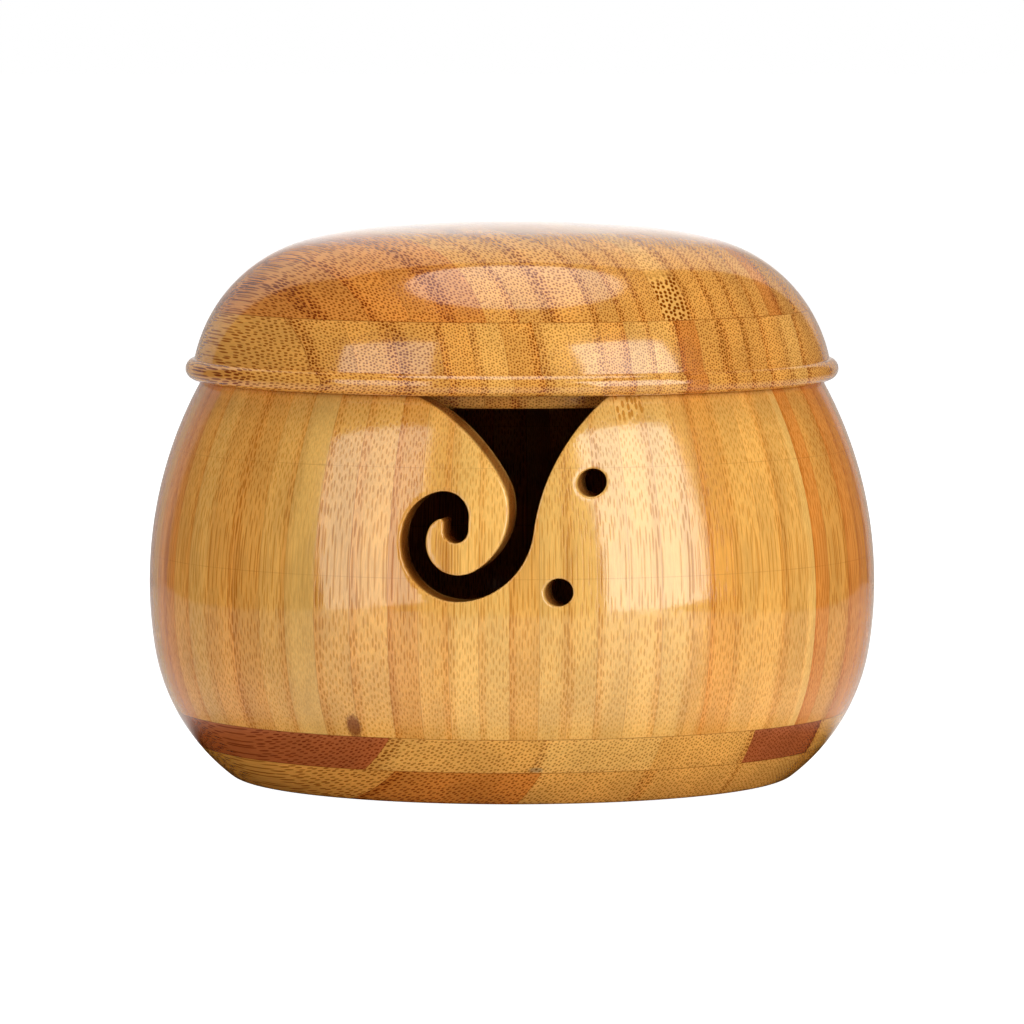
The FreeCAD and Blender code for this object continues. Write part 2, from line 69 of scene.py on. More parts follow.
class YarnBowlSizes(bpy.types.PropertyGroup):
    """Sizes of the turned forms, in millimetres and degrees."""

    bowl_diameter: bpy.props.FloatProperty(
        name="Bowl diameter", description="Across the belly", default=150.0)
    belly_height: bpy.props.FloatProperty(
        name="Belly height", description="Height of the widest circle", default=40.3)
    underbelly_radius: bpy.props.FloatProperty(
        name="Underbelly arc", description="Arc just below the widest circle", default=86.0)
    underbelly_angle: bpy.props.FloatProperty(
        name="Underbelly sweep", description="Sweep of that arc, in degrees", default=9.0)
    lower_radius: bpy.props.FloatProperty(name="Lower arc", description="Arc in to the foot", default=41.0)
    foot_round: bpy.props.FloatProperty(name="Foot round", description="Round at the foot", default=4.0)
    bowl_height: bpy.props.FloatProperty(name="Bowl height", description="Foot to rim", default=82.3)
    rim_round: bpy.props.FloatProperty(name="Rim round", description="Both edges of the rim", default=0.8)
    rim_width: bpy.props.FloatProperty(
        name="Rim width", description="Mouth to the rim's outer edge", default=7.05)
    wall: bpy.props.FloatProperty(name="Wall", description="Thickness of the wall", default=8.0)
    mouth_diameter: bpy.props.FloatProperty(name="Mouth", description="Across the mouth", default=114.0)
    bottom_board: bpy.props.FloatProperty(name="Bottom board", description="Its thickness", default=7.2)
    base_board: bpy.props.FloatProperty(name="Base board", description="Its thickness", default=7.1)
    bottom_strip: bpy.props.FloatProperty(name="Bottom strips", description="Their width", default=21.6)
    base_strip: bpy.props.FloatProperty(name="Base strips", description="Their width", default=23.0)
    board_angle: bpy.props.FloatProperty(
        name="Board turn", description="Turn of both boards' strips, in degrees", default=35.0)
    lip: bpy.props.FloatProperty(name="Lip", description="Softened edge of notch and holes", default=0.45)
    cut_angle: bpy.props.FloatProperty(
        name="Cut turn", description="Turn of the notch's cut, in degrees", default=12.0)
    hole_radius: bpy.props.FloatProperty(
        name="Yarn hole", description="Radius of the yarn holes", default=2.75)
    lid_height: bpy.props.FloatProperty(name="Lid height", description="Seat to top", default=32.3)
    lid_seam: bpy.props.FloatProperty(name="Lid seam", description="Seat to the glue line", default=14.5)
    lid_board_angle: bpy.props.FloatProperty(
        name="Lid turn", description="Turn of the lid's strips, in degrees", default=28.0)
    step: bpy.props.FloatProperty(name="Mesh step", description="Spacing of mesh points", default=1.1)


class BambooColours(bpy.types.PropertyGroup):
    """Colours of the bamboo strips, and its lacquer."""

    pale: bpy.props.FloatVectorProperty(
        name="Pale", description="Bleached strip", subtype="COLOR", default=(0.71, 0.395, 0.098))
    yellow: bpy.props.FloatVectorProperty(
        name="Yellow", description="Light strip", subtype="COLOR", default=(0.77, 0.430, 0.110))
    golden: bpy.props.FloatVectorProperty(
        name="Golden", description="Common strip", subtype="COLOR", default=(0.74, 0.375, 0.083))
    amber: bpy.props.FloatVectorProperty(
        name="Amber", description="Warmer strip", subtype="COLOR", default=(0.71, 0.325, 0.062))
    warm: bpy.props.FloatVectorProperty(
        name="Warm", description="Between amber and orange", subtype="COLOR", default=(0.67, 0.248, 0.040))
    orange: bpy.props.FloatVectorProperty(
        name="Orange", description="Steamed strip", subtype="COLOR", default=(0.61, 0.220, 0.036))
    red: bpy.props.FloatVectorProperty(
        name="Red", description="Reddish steamed strip", subtype="COLOR", default=(0.40, 0.107, 0.032))
    brown: bpy.props.FloatVectorProperty(
        name="Brown", description="Darkly steamed strip", subtype="COLOR", default=(0.38, 0.099, 0.026))
    lacquer_roughness: bpy.props.FloatProperty(
        name="Lacquer roughness", description="Blur of what the lacquer mirrors", default=0.07,
        min=0.0, max=1.0)


def sizes():
    return bpy.context.scene.yarn_bowl_sizes


def colours():
    return bpy.context.scene.bamboo_colours


# ---------------------------------------------------------------- outlines

def arc(centre, radius, first, last, step):
    """Points on an arc: centre plus radius times (cos a, sin a), a even from first to last degrees."""
    count = max(2, math.ceil(abs(math.radians(last - first)) * radius / step) + 1)
    angle = np.radians(np.linspace(first, last, count))
    return np.stack((centre[0] + radius * np.cos(angle), centre[1] + radius * np.sin(angle)), axis=1)


def on_arc(centre, radius, angle):
    """One point of such an arc."""
    angle = math.radians(angle)
    return np.array((centre[0] + radius * math.cos(angle), centre[1] + radius * math.sin(angle)))


def line(first, last, step):
    """Points on a straight line: first plus a share of the way to last."""
    count = max(2, math.ceil(math.dist(first, last) / step) + 1)
    share = np.linspace(0.0, 1.0, count)[:, None]
    return np.asarray(first) * (1.0 - share) + np.asarray(last) * share


def joined(*runs):
    """One path of several that meet end to end."""
    return np.vstack([runs[0]] + [run[1:] for run in runs[1:]])


def distances(path):
    """Distance along a path to each of its points."""
    return np.concatenate(([0.0], np.cumsum(np.linalg.norm(np.diff(path, axis=0), axis=1))))


def bowl_arcs():
    """The bowl's outer arcs by name, each as (centre, radius)."""
    s = sizes()
    edge, middle = s.bowl_diameter / 2, s.belly_height
    out_by, rise = edge - s.mouth_diameter / 2 - s.rim_width, s.bowl_height - middle
    belly = (out_by ** 2 + rise ** 2) / (2 * out_by)
    under_centre = (edge - s.underbelly_radius, middle)
    lower_centre = on_arc(under_centre, s.underbelly_radius - s.lower_radius, -s.underbelly_angle)
    foot_reach = math.sqrt((s.lower_radius - s.foot_round) ** 2 - (lower_centre[1] - s.foot_round) ** 2)
    foot_centre = (lower_centre[0] + foot_reach, s.foot_round)
    rim_reach = math.sqrt((belly - s.rim_round) ** 2 - (rise - s.rim_round) ** 2)
    rim_centre = (edge - belly + rim_reach, s.bowl_height - s.rim_round)
    return {
        "belly": ((edge - belly, middle), belly),
        "underbelly": (under_centre, s.underbelly_radius),
        "lower": (lower_centre, s.lower_radius),
        "foot": (foot_centre, s.foot_round),
        "rim": (rim_centre, s.rim_round),
    }


def angle_to(centre, point):
    return math.degrees(math.atan2(point[1] - centre[1], point[0] - centre[0]))


def wall_path(step):
    """Half section of the wall, (radius, height): outside up, over the rim and down the inside.

    It runs from the base board's top outside to the same height inside, on the bowl's arcs: lower,
    underbelly, belly, rim round, flat rim, rim round, mouth, and the arcs again less the wall."""
    s = sizes()
    arcs = bowl_arcs()
    board_top = s.bottom_board + s.base_board
    (belly_c, belly), (under_c, under), (lower_c, lower) = arcs["belly"], arcs["underbelly"], arcs["lower"]
    rim_c, rim = arcs["rim"]
    mouth, inner = s.mouth_diameter / 2, belly - s.wall
    outer_start = -math.degrees(math.asin((lower_c[1] - board_top) / lower))
    inner_end = -math.degrees(math.asin((lower_c[1] - board_top) / (lower - s.wall)))
    rim_angle = angle_to(belly_c, rim_c)
    land_foot = belly_c[1] + math.sqrt(inner ** 2 - (mouth - belly_c[0]) ** 2)
    fine = min(step, rim * 0.2)
    return joined(
        arc(lower_c, lower, outer_start, -s.underbelly_angle, step),
        arc(under_c, under, -s.underbelly_angle, 0.0, step),
        arc(belly_c, belly, 0.0, rim_angle, step),
        arc(rim_c, rim, rim_angle, 90.0, fine),
        line((rim_c[0], s.bowl_height), (mouth + rim, s.bowl_height), step),
        arc((mouth + rim, s.bowl_height - rim), rim, 90.0, 180.0, fine),
        line((mouth, s.bowl_height - rim), (mouth, land_foot), step),
        arc(belly_c, inner, angle_to(belly_c, (mouth, land_foot)), 0.0, step),
        arc(under_c, under - s.wall, 0.0, -s.underbelly_angle, step),
        arc(lower_c, lower - s.wall, -s.underbelly_angle, inner_end, step),
    )


def foot_path(low, high, step):
    """Outline of the two boards between two heights, (radius, height) from low to high."""
    arcs = bowl_arcs()
    (lower_c, lower), (foot_c, foot) = arcs["lower"], arcs["foot"]
    join = angle_to(lower_c, foot_c)
    whole = joined(
        arc(foot_c, foot, -90.0, join, min(step, foot * 0.1)),
        arc(lower_c, lower, join, 0.0, min(step, 0.5)),
    )
    inside = whole[(whole[:, 1] > low + 1e-6) & (whole[:, 1] < high - 1e-6)]
    ends = np.interp((low, high), whole[:, 1], whole[:, 0])
    return np.vstack(((ends[0], low), inside, (ends[1], high)))


def lid_paths(step):
    """Closed half sections of the lid's two boards, (radius, height above the seat).

    The lower one goes from the glue line down the shoulder, round the bead, along the seat, down and
    round the register ring and up the hollow. The upper one goes from the top over dome, crown and
    shoulder to the glue line, in to the hollow and over its ceiling to the axis."""
    s = sizes()
    bead, depth, chamfer, corner = 2.2, 2.9, 0.6, 14.0
    clearance, ring_width, top_thickness, overhang, bead_stands_out = 0.4, 6.6, 10.6, 3.4, 1.15
    ring = s.mouth_diameter / 2 - clearance
    hollow, ceiling = ring - ring_width, s.lid_height - top_thickness
    lid_edge = s.mouth_diameter / 2 + s.rim_width + overhang
    bead_c = (lid_edge - bead, bead)
    crown, shoulder, dome_end, crown_end = 87.0, 32.0, 84.9, 75.7  # radii, and degrees above level
    shoulder_x = lid_edge - bead_stands_out - shoulder
    cos_dome, cos_crown = math.cos(math.radians(dome_end)), math.cos(math.radians(crown_end))
    dome = (shoulder_x + shoulder * cos_crown - crown * (cos_crown - cos_dome)) / cos_dome
    dome_c = (0.0, s.lid_height - dome)
    crown_c = on_arc(dome_c, dome - crown, dome_end)
    shoulder_c = on_arc(crown_c, crown - shoulder, crown_end)
    gap = math.dist(shoulder_c, bead_c)
    along = (gap ** 2 + shoulder ** 2 - bead ** 2) / (2 * gap)
    meet = angle_to(shoulder_c, bead_c) + math.degrees(math.acos(along / shoulder))
    meeting = on_arc(shoulder_c, shoulder, meet)
    seam = math.degrees(math.asin((s.lid_seam - shoulder_c[1]) / shoulder))
    corner_c = (hollow - corner, ceiling - corner)
    corner_seam = math.degrees(math.asin((s.lid_seam - corner_c[1]) / corner))
    fine = 0.35
    corners = ((bead_c[0], 0.0), (ring, 0.0), (ring, chamfer - depth), (ring - chamfer, -depth),
               (hollow, -depth), (hollow, ceiling - corner))
    lower = joined(
        arc(shoulder_c, shoulder, seam, meet, step),
        arc(bead_c, bead, angle_to(bead_c, meeting), -90.0, fine),
        *(line(first, last, step) for first, last in zip(corners, corners[1:])),
        arc(corner_c, corner, 0.0, corner_seam, step),
    )
    upper = joined(
        arc(dome_c, dome, 90.0, dome_end, 2 * step),
        arc(crown_c, crown, dome_end, crown_end, step),
        arc(shoulder_c, shoulder, crown_end, seam, step),
        line((lower[0, 0], s.lid_seam), (lower[-1, 0], s.lid_seam), 3 * step),
        arc(corner_c, corner, corner_seam, 90.0, step),
        line((corner_c[0], ceiling), (0.0, ceiling), 3 * step),
    )
    return lower, upper


def notch_path(step):
    """The notch seen along its cut, (sideways, height), from the rim down the hook and back up.

    Arcs with a shared tangent: hook flank, back, curl and nose to the tip, the blind slot with its
    round end and crown, then the far side of the channel: nose, curl, back and flank."""
    s = sizes()
    tip = np.array((1.39, s.bowl_height - 23.67))
    heading, channel, slot_round, tip_round = 190.1, 5.27, 2.52, 0.7
    nose, nose_turn, curl = 3.7, 60.9, 6.6
    across = on_arc((0.0, 0.0), channel, heading - 90.0)
    far = bends(tip + across, heading, ((nose + channel, nose_turn), (curl + channel, 115.4), (15.0, 78.9),
                                        (42.8, -45.0)), step)
    crown = bends(tip + across, heading + 180.0, ((5.24, 90.0 - heading),), step)
    low = (crown[-1, 0], tip[1] - 2.4)
    end = bends(low, -90.0, ((slot_round, -180.0),), step)
    nose_centre = tip - across / channel * nose
    round_x = low[0] - 2 * slot_round - tip_round
    round_rise = math.sqrt((nose - tip_round) ** 2 - (round_x - nose_centre[0]) ** 2)
    round_centre = (round_x, nose_centre[1] + round_rise)
    meet = angle_to(nose_centre, round_centre)
    start = on_arc(nose_centre, nose, meet)
    rest = heading + nose_turn - meet - 90.0
    hook = bends(start, meet + 90.0, ((nose, rest), (curl, 140.2), (12.88, 90.7), (42.2, 45.0)), step)
    tip_arc = arc(round_centre, tip_round, meet, 0.0, 0.15)
    slot = joined(line(tip_arc[-1], end[-1], step), end[::-1], line(low, crown[-1], step), crown[::-1])
    return joined(hook[::-1], tip_arc, slot, far)


def bends(start, heading, turns, step):
    """Arcs end to end from start: each (radius, sweep) turns left for a positive sweep."""
    runs = []
    place = start
    for radius, sweep in turns:
        side = 1.0 if sweep > 0 else -1.0
        first = heading - side * 90.0
        centre = on_arc(place, -radius, first)
        runs.append(arc(centre, radius, first, first + sweep, step))
        place = runs[-1][-1]
        heading += sweep
    return joined(*runs)


# ---------------------------------------------------------------- meshes

def on_circle(radius, azimuth, height):
    """Points at a radius, azimuth in degrees and height: (r sin a, -r cos a, z)."""
    angle = np.radians(azimuth)
    return np.stack(np.broadcast_arrays(radius * np.sin(angle), -radius * np.cos(angle), height), axis=-1)


def grid_faces(rows, columns, closed=False):
    """Quads of a grid whose points run along its rows. A closed grid's last column joins its first."""
    row, column = np.indices((rows - 1, columns if closed else columns - 1))
    a, b = row * columns + column, row * columns + (column + 1) % columns
    return np.stack((a, b, b + columns, a + columns), axis=-1).reshape(-1, 4)


class Shell:
    """Patches of one piece, gathered and then sewn where their points meet."""

    def __init__(self):
        self.points = []
        self.faces = []
        self.count = 0

    def add(self, points, faces):
        points = np.asarray(points).reshape(-1, 3)
        self.points.append(points)
        self.faces.extend((np.asarray(faces) + self.count).tolist())
        self.count += len(points)

    def grid(self, points, closed=False):
        rows, columns = points.shape[:2]
        self.add(points, grid_faces(rows, columns, closed))

    def mesh(self, name):
        """Mesh in metres. Points that agree to a ten-thousandth of a millimetre become one."""
        points = np.vstack(self.points)
        keys = np.round(points * 1e4).astype(np.int64)
        _, first, where = np.unique(keys, axis=0, return_index=True, return_inverse=True)
        where = where.ravel()
        faces = [list(dict.fromkeys(where[face].tolist())) for face in self.faces]
        mesh = bpy.data.meshes.new(name)
        mesh.from_pydata((points[first] * MM).tolist(), [], [face for face in faces if len(face) > 2])
        mesh.validate()
        return mesh


def finish_piece(node, shell, grain, material, body, cut=None):
    """The piece for a node: faces outwards, sharp arrises, fibre coordinates, material and body.

    cut, where given, says for each point how far it is on a sawn face, from 0 to 1, and so how much painted
    shade it gets."""
    name = "bamboo_" + node
    mesh = shell.mesh(name)
    face_outwards(mesh)
    points = np.empty(len(mesh.vertices) * 3)
    mesh.vertices.foreach_get("co", points)
    points = points.reshape(-1, 3) / MM
    attribute = mesh.attributes.new(GRAIN, "FLOAT_VECTOR", "POINT")
    attribute.data.foreach_set("vector", np.asarray(grain(points), dtype=np.float32).ravel())
    if cut is not None:
        attribute = mesh.attributes.new(CUT_SHADE, "FLOAT", "POINT")
        attribute.data.foreach_set("value", np.asarray(cut(points), dtype=np.float32))
    mesh.shade_smooth()
    mesh.set_sharp_from_angle(angle=math.radians(SHARP))
    mesh.materials.append(material)
    piece = bpy.data.objects.new(name, mesh)
    bpy.context.scene.collection.objects.link(piece)
    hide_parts(node)
    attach(piece, body)


def face_outwards(mesh):
    """Makes the faces agree, pointing out of the closed shell."""
    work = bmesh.new()
    work.from_mesh(mesh)
    bmesh.ops.recalc_face_normals(work, faces=work.faces)
    work.to_mesh(mesh)
    work.free()


def in_loop(points, loop):
    """Which points lie inside a closed polygon: those with an odd number of its edges to their right."""
    x, y = points[:, 0, None], points[:, 1, None]
    x0, y0 = loop[None, :, 0], loop[None, :, 1]
    x1, y1 = np.roll(loop, -1, axis=0)[None, :, 0], np.roll(loop, -1, axis=0)[None, :, 1]
    spans = (y0 > y) != (y1 > y)
    slope = np.divide(x1 - x0, y1 - y0, out=np.zeros_like(y1 - y0), where=np.abs(y1 - y0) > 1e-12)
    return (np.sum(spans & (x < x0 + (y - y0) * slope), axis=1) % 2).astype(bool)


def nearest(points, loop):
    """Distance from each point to the nearest point of a loop."""
    best = np.full(len(points), np.inf)
    for part in np.array_split(loop, max(1, len(loop) // 100)):
        best = np.minimum(best, np.min(np.linalg.norm(points[:, None, :] - part[None, :, :], axis=2), axis=1))
    return best


def moved_out(loop, by):
    """A closed polygon moved outwards by a distance, along the mean normal of each corner's edges."""
    before, after = loop - np.roll(loop, 1, axis=0), np.roll(loop, -1, axis=0) - loop
    before /= np.linalg.norm(before, axis=1)[:, None]
    after /= np.linalg.norm(after, axis=1)[:, None]
    area = np.sum(loop[:, 0] * np.roll(loop[:, 1], -1) - loop[:, 1] * np.roll(loop[:, 0], -1))
    normal = (before + after)[:, ::-1] * np.array((1.0, -1.0)) * np.sign(area)
    length = np.linalg.norm(normal, axis=1)[:, None]
    mitre = np.clip(2.0 / length, 1.0, 1.8)
    return loop + normal / length * mitre * by


def between_loops(points, border, holes):
    """Which points lie inside the border and outside every hole."""
    inside = in_loop(points, border)
    for hole in holes:
        inside &= ~in_loop(points, hole)
    return inside


def filled(border, holes, inner, spacing):
    """Triangles over the region inside the border and outside the holes.

    border and holes are closed polygons, inner the lattice points offered; those near an edge or in
    a hole are left out. Gives the points used and the triangles."""
    loops = [border] + holes
    clear = 0.55 * spacing
    keep = between_loops(inner, border, holes) & (nearest(inner, np.vstack(loops)) > clear)
    points = np.vstack(loops + [inner[keep]])
    edges = []
    start = 0
    for loop in loops:
        numbers = np.arange(start, start + len(loop))
        edges.append(np.stack((numbers, np.roll(numbers, -1)), axis=1))
        start += len(loop)
    result = delaunay_2d_cdt(points.tolist(), np.vstack(edges).tolist(), [], 0, 1e-7)
    source = np.array([origin[0] for origin in result[3]])
    triangles = source[np.array(result[2])]
    return points, triangles[between_loops(points[triangles].mean(axis=1), border, holes)]


def lattice(first, second):
    """A grid of points (a, b) with a from the first numbers and b from the second."""
    return np.stack(np.meshgrid(first, second, indexing="ij"), axis=-1)


def lip(corner, skin, wall, segments=4):
    """Softened edge: from skin to wall past the corner, a quarter of an ellipse with the corner outside it.

    point = corner + (skin - corner)(1 - sin a) + (wall - corner)(1 - cos a), a from 0 to 90 degrees."""
    angle = np.linspace(0.0, math.pi / 2, segments + 1)[:, None, None]
    return corner + (skin - corner) * (1.0 - np.sin(angle)) + (wall - corner) * (1.0 - np.cos(angle))


# ---------------------------------------------------------------- fibre coordinates

def seams_in(first, last, pitch, listed, rng):
    """Seams between two azimuths or offsets: the listed ones, and uneven ones at the pitch elsewhere."""
    seams = [first] + [seam for seam in listed if first + 0.3 * pitch < seam < last - 0.3 * pitch] + [last]
    full = [seams[0]]
    for seam in seams[1:]:
        count = max(1, round((seam - full[-1]) / pitch))
        if count > 1:
            share = np.cumsum(rng.uniform(0.8, 1.2, count))
            full.extend((full[-1] + (seam - full[-1]) * share[:-1] / share[-1]).tolist())
        full.append(seam)
    return np.array(full)


def strip_number(value, seams, base):
    """Strip coordinate: base at the first seam, one more at each next seam, straight in between."""
    inside = 0.0005
    number = np.interp(value, seams, base + np.arange(len(seams)))
    return np.clip(number, base + inside, base + len(seams) - 1 - inside)


def upright_grain(seams, middle, base):
    """Fibres of the wall: upright, leaning in a little, with a seam at each listed azimuth."""
    lean, unmoved_height = math.tan(math.radians(5.5)), 48.5

    def grain(points):
        x, y, z = points.T
        azimuth = np.degrees(np.arctan2(x, -y))
        azimuth = middle + (azimuth - middle + 180.0) % 360.0 - 180.0
        depth = np.hypot(x, y) + (z - unmoved_height) * lean
        return np.stack((strip_number(azimuth, seams, base), depth, z), axis=1)

    return grain


def flat_grain(seams, turn, base):
    """Fibres of a board: level, along the strips, which lie at right angles to the direction turn."""
    angle = math.radians(turn)

    def grain(points):
        x, y, z = points.T
        offset = x * math.cos(angle) + y * math.sin(angle)
        along = y * math.cos(angle) - x * math.sin(angle)
        return np.stack((strip_number(offset, seams, base), z, along), axis=1)

    return grain


# ---------------------------------------------------------------- bamboo

class Nodes:
    """Short words for building a material's node tree."""

    def __init__(self, material, clear=True):
        material.use_nodes = True
        self.tree = material.node_tree
        if clear:
            self.tree.nodes.clear()

    def add(self, kind, *values, named=None, **settings):
        """A node with its settings. values go to its first sockets, and named to the sockets it names."""
        node = self.tree.nodes.new(kind)
        for name, value in settings.items():
            setattr(node, name, value)
        for socket, value in (*enumerate(values), *(named or {}).items()):
            self.put(node.inputs[socket], value)
        return node

    def put(self, socket, value):
        if isinstance(value, bpy.types.NodeSocket):
            self.tree.links.new(value, socket)
        else:
            socket.default_value = value

    def maths(self, operation, *values, clamp=False):
        return self.add("ShaderNodeMath", *values, operation=operation, use_clamp=clamp).outputs[0]

    def times(self, first, second):
        return self.maths("MULTIPLY", first, second)

    def minus(self, first, second):
        return self.maths("SUBTRACT", first, second)

    def scaled(self, value, by, onto):
        """value times by, added onto something."""
        return self.maths("MULTIPLY_ADD", value, by, onto)

    def between(self, value, low, high, out_low=0.0, out_high=1.0, smooth=True):
        kind = "SMOOTHSTEP" if smooth else "LINEAR"
        return self.add("ShaderNodeMapRange", value, low, high, out_low, out_high,
                        interpolation_type=kind).outputs[0]

    def vector(self, x, y, z):
        return self.add("ShaderNodeCombineXYZ", x, y, z).outputs[0]

    def lines(self, operation, *vectors):
        """Vector arithmetic."""
        node = self.add("ShaderNodeVectorMath", *vectors, operation=operation)
        return node.outputs["Value" if operation == "LENGTH" else "Vector"]

    def parts(self, vector):
        return self.add("ShaderNodeSeparateXYZ", vector).outputs

    def blend(self, share, first, second, kind="MIX"):
        return self.add("ShaderNodeMix", named={0: share, 6: first, 7: second},
                        data_type="RGBA", blend_type=kind).outputs[2]

    def tinted(self, share, first, under, tint):
        """first, turned by a share into the colour under times a tint."""
        return self.blend(share, first, self.blend(1.0, under, tint, "MULTIPLY"))

    def noise(self, vector, scale, detail=2.0, roughness=0.5):
        return self.add("ShaderNodeTexNoise", named={
            "Vector": vector, "Scale": scale, "Detail": detail, "Roughness": roughness}).outputs["Fac"]

    def surface(self, **sockets):
        """The one shader of the material. Each word names a socket, with _ for a space."""
        named = {word.replace("_", " "): value for word, value in sockets.items()}
        shader = self.add("ShaderNodeBsdfPrincipled", named=named)
        self.add("ShaderNodeOutputMaterial", shader.outputs[0])


def rgba(colour):
    return (*colour, 1.0)


def bundles(n, across, deep, along, strip, sizes_of, wider):
    """Mask and shade of the fibre bundles, which run the whole length of a strip.

    sizes_of holds their spacing across the strip and through it and their radius, and wider is added
    to the radius, all in mm. Their centres are scattered over a net in the strip's cross-section, each
    row half a spacing up from the one before, and a point is in a bundle where it is nearer to a centre
    than the radius. Cut across, the bundles are dots, cut aslant dashes and cut along streaks."""
    pitch, rise, radius = sizes_of
    sway = n.noise(n.vector(n.times(along, 0.05), n.times(strip, 3.3), 0.0), 1.0, 1.0)
    place = n.scaled(across, 1.0 / pitch, n.scaled(strip, 31.7, sway))
    row = n.scaled(deep, 1.0 / rise, n.scaled(place, 0.5, n.times(strip, 11.3)))
    point = n.vector(place, row, 0.0)
    cells = n.add("ShaderNodeTexVoronoi", voronoi_dimensions="2D", feature="F1",
                  named={"Vector": point, "Scale": 1.0, "Randomness": 0.5})
    shade = n.add("ShaderNodeSeparateColor", cells.outputs["Color"]).outputs
    gap = n.parts(n.lines("SUBTRACT", point, cells.outputs["Position"]))
    off = n.vector(n.times(gap[0], pitch), n.times(n.scaled(gap[0], -0.5, gap[1]), rise), 0.0)
    edge = n.scaled(shade[0], -0.03, n.minus(n.lines("LENGTH", off), wider))
    return n.between(edge, radius - BUNDLE_EDGE, radius + BUNDLE_EDGE, 1.0, 0.0), shade[1]


def bamboo(name, strips, first_strip, width, sizes_of, ink, lean=0.0, coarse=None, joints=(), marks=()):
    """Lacquered bamboo strips: each with its colour, its bundles, a skin side and thin glue lines.

    strips are the strips' tones in order, (red, green, blue, depth of the bundles' colour),
    first_strip the number of the first, width the strips' usual width in mm, sizes_of the bundles'
    sizes, ink what their colour is times the strip's and lean how far they drift across the strip for
    each mm along it. coarse is the number of a strip with large ones and the heights in mm between
    which it has them, joints the heights in mm of level lines with the depth of each, and marks the
    spots: centre and half sizes in mm, and what they tint by."""
    material = bpy.data.materials.new(name)
    n = Nodes(material)
    grain = n.add("ShaderNodeAttribute", attribute_name=GRAIN)
    number, deep, along = n.parts(grain.outputs["Vector"])
    strip = n.maths("FLOOR", number)
    share = n.minus(number, strip)
    here = n.add("ShaderNodeTexCoord").outputs["Object"]
    height = n.maths("DIVIDE", n.parts(here)[2], MM)
    chance = n.add("ShaderNodeTexWhiteNoise", noise_dimensions="1D", named={"W": strip})
    chances = n.add("ShaderNodeSeparateColor", chance.outputs["Color"]).outputs
    turned_round = n.maths("GREATER_THAN", chances[0], 0.7)
    across = n.times(n.maths("ABSOLUTE", n.minus(share, turned_round)), width)

    # colour of each strip, with slow changes and fine fibres along it
    count = len(strips)
    ramp = n.add("ShaderNodeValToRGB", n.maths("DIVIDE", n.minus(strip, first_strip - 0.5), count))
    ramp.color_ramp.interpolation = "CONSTANT"
    elements = ramp.color_ramp.elements
    elements[1].position = 1.0 / count
    for index in range(2, count):
        elements.new(index / count)
    for element, of_strip in zip(elements, strips):
        element.color = of_strip
    tone, ink_depth = ramp.outputs
    slow = n.noise(n.vector(n.scaled(strip, 9.1, n.times(across, 0.16)), n.times(deep, 0.12),
                            n.times(along, 0.045)), 1.0, 3.0)
    fine = n.noise(n.vector(n.scaled(strip, 17.9, across), deep, n.times(along, 0.06)), 4.5, 2.0, 0.6)
    value = n.times(n.between(slow, 0.3, 0.7, 0.90, 1.08), n.between(fine, 0.25, 0.75, 0.88, 1.10))
    value = n.times(value, n.between(chances[1], 0.0, 1.0, 0.94, 1.06, False))
    ground = n.add("ShaderNodeHueSaturation", named={"Color": tone, "Value": value}).outputs[0]

    # a band of larger, darker bundles at the skin side, and finer ones over the rest
    band = n.between(n.scaled(n.minus(slow, 0.5), 1.6, across), *SKIN_SIDE, 1.0, 0.0)
    drift = n.scaled(share, width, n.times(along, lean))
    mask, shade = bundles(n, drift, deep, along, strip, sizes_of, n.times(band, BUNDLE_EDGE))
    depth = n.times(n.between(band, 0.0, 1.0, 0.95, 1.1, False),
                    n.between(shade, 0.0, 1.0, 0.75, 1.05, False))
    mask = n.maths("MULTIPLY", mask, n.times(depth, ink_depth), clamp=True)
    darkest = band
    if coarse is not None:
        coarse_strip, lowest, highest = coarse
        large_sizes = (sizes_of[0] * 1.7, sizes_of[1] * 1.4, 0.30)
        large, _ = bundles(n, drift, deep, along, strip, large_sizes, 0.0)
        uneven = n.scaled(slow, 4.0, height)
        where = n.times(n.between(uneven, lowest, lowest + 3.0),
                        n.between(uneven, highest, highest + 4.0, 1.0, 0.0))
        where = n.times(where, n.maths("COMPARE", strip, float(coarse_strip), 0.5))
        mask = n.maths("MAXIMUM", n.times(mask, n.minus(1.0, where)), n.times(large, where))
        darkest = n.maths("MAXIMUM", band, where)
    warm = n.tinted(n.times(band, n.times(ink_depth, 0.45)), ground, ground, rgba(WARM_TINT))
    colour = n.tinted(mask, warm, ground, n.blend(darkest, rgba(np.power(ink, 0.8)), rgba(ink)))

    # glue lines, upright or along the strips, and the level ones between blocks and boards
    to_seam = n.times(n.maths("MINIMUM", share, n.minus(1.0, share)), width)
    glue = n.times(n.between(to_seam, *GLUE_WIDTH, 1.0, 0.0), n.between(fine, 0.3, 0.7, 0.15, 0.5))
    for joint, darkness in joints:
        away = n.maths("ABSOLUTE", n.minus(height, joint))
        level = n.times(n.between(away, *JOINT_WIDTH, 1.0, 0.0), n.between(slow, 0.3, 0.7, 0.35, 0.8))
        glue = n.maths("MAXIMUM", glue, n.times(level, darkness))
    colour = n.tinted(glue, colour, ground, rgba(GLUE_TINT))
    for centre, half_sizes, tint in marks:
        away = n.lines("SUBTRACT", here, np.asarray(centre) * MM)
        reach = n.lines("LENGTH", n.lines("DIVIDE", away, np.asarray(half_sizes) * MM))
        spot = n.between(n.scaled(fine, 0.6, reach), 0.8, 1.4, 1.0, 0.0)
        colour = n.tinted(spot, colour, colour, rgba(tint))

    # painted shade: sawn faces turn darker, as if they lay in shadow
    sawn_shade = n.add("ShaderNodeAttribute", attribute_name=CUT_SHADE).outputs["Fac"]
    colour = n.tinted(sawn_shade, colour, colour, rgba(SAWN_SHADE_TINT))

